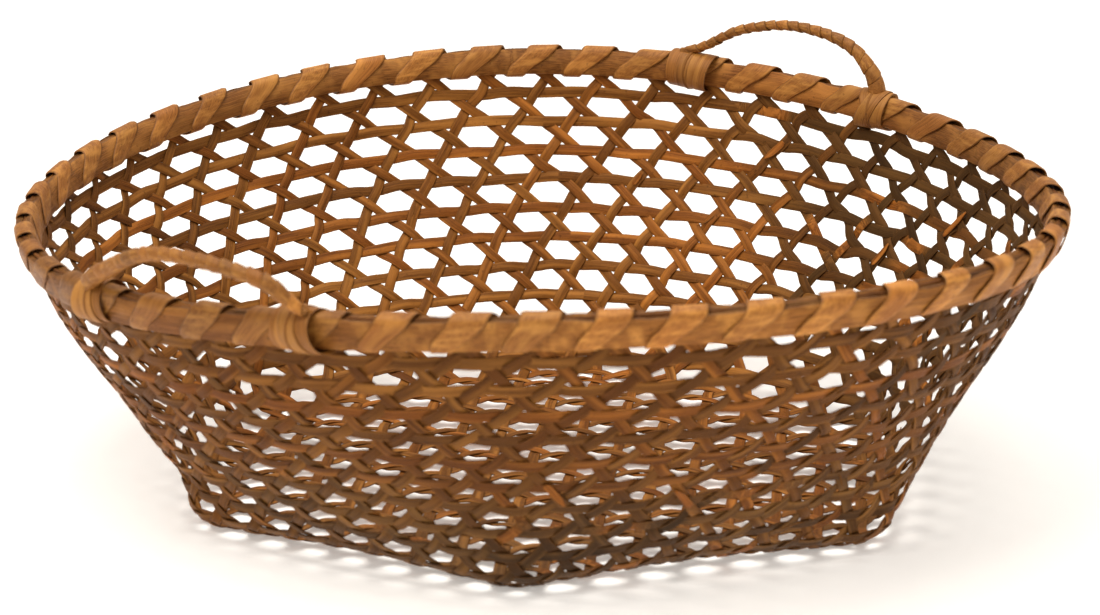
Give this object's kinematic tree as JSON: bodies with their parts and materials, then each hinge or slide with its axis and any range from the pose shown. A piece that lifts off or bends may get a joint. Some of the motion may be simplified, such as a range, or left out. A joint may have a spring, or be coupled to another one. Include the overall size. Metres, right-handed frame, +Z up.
{
  "type": "winnowing basket",
  "caption": "Wide shallow open-weave basket with a six-sided footed base, round lashed rim and a pair of swinging bound carrying handles.",
  "frame": {"origin": "under the middle of the basket, on the plane its six feet stand on", "axes": "+Z up through the opening, +Y towards the far side with one corner of the base, +X to the right"},
  "size_m": [0.5734, 0.5554, 0.2137],
  "materials": {
    "wall_splint": "aged split bamboo, dull satin with lengthwise grain and darker edges",
    "rim_cane": "aged bamboo hoop, worn satin",
    "filler_cane": "dark rough cane",
    "lashing_splint": "ochre split cane, satin sheen, rubbed edges"
  },
  "bodies": {
    "basket": {"stake_pair_a1": "wall_splint", "stake_pair_a2": "wall_splint", "stake_pair_a3": "wall_splint", "stake_pair_a4": "wall_splint", "stake_pair_a5": "wall_splint", "stake_pair_a6": "wall_splint", "stake_pair_a7": "wall_splint", "stake_pair_a8": "wall_splint", "stake_pair_b1": "wall_splint", "stake_pair_b2": "wall_splint", "stake_pair_b3": "wall_splint", "stake_pair_b4": "wall_splint", "stake_pair_b5": "wall_splint", "stake_pair_b6": "wall_splint", "stake_pair_b7": "wall_splint", "stake_pair_b8": "wall_splint", "stake_pair_c1": "wall_splint", "stake_pair_c2": "wall_splint", "stake_pair_c3": "wall_splint", "stake_pair_c4": "wall_splint", "stake_pair_c5": "wall_splint", "stake_pair_c6": "wall_splint", "stake_pair_c7": "wall_splint", "stake_pair_c8": "wall_splint", "wall_weaver_01": "wall_splint", "wall_weaver_02": "wall_splint", "wall_weaver_03": "wall_splint", "wall_weaver_04": "wall_splint", "wall_weaver_05": "wall_splint", "wall_weaver_06": "wall_splint", "wall_weaver_07": "wall_splint", "wall_weaver_08": "wall_splint", "wall_weaver_09": "wall_splint", "wall_weaver_10": "wall_splint", "rim_hoop_inner": "rim_cane", "rim_hoop_outer": "rim_cane", "rim_filler": "filler_cane", "rim_lashing_first": "lashing_splint", "rim_lashing_second": "lashing_splint"},
    "handle_far": {"handle_far_core": "rim_cane", "handle_far_wrap": "lashing_splint", "handle_far_binding_left": "lashing_splint", "handle_far_binding_right": "lashing_splint"},
    "handle_near": {"handle_near_core": "rim_cane", "handle_near_wrap": "lashing_splint", "handle_near_binding_left": "lashing_splint", "handle_near_binding_right": "lashing_splint"}
  },
  "joints": [
    {"name": "handle_far_swing", "type": "hinge", "parent": "basket", "child": "handle_far", "pos_m": [0.14807, 0.21644, 0.1706], "axis": [-0.8239, 0.5632, 0.0637], "range_deg": [-36, 64]},
    {"name": "handle_near_swing", "type": "hinge", "parent": "basket", "child": "handle_near", "pos_m": [-0.16714, -0.19397, 0.14661], "axis": [0.7814, -0.6204, 0.0673], "range_deg": [-74, 26]}
  ]
}
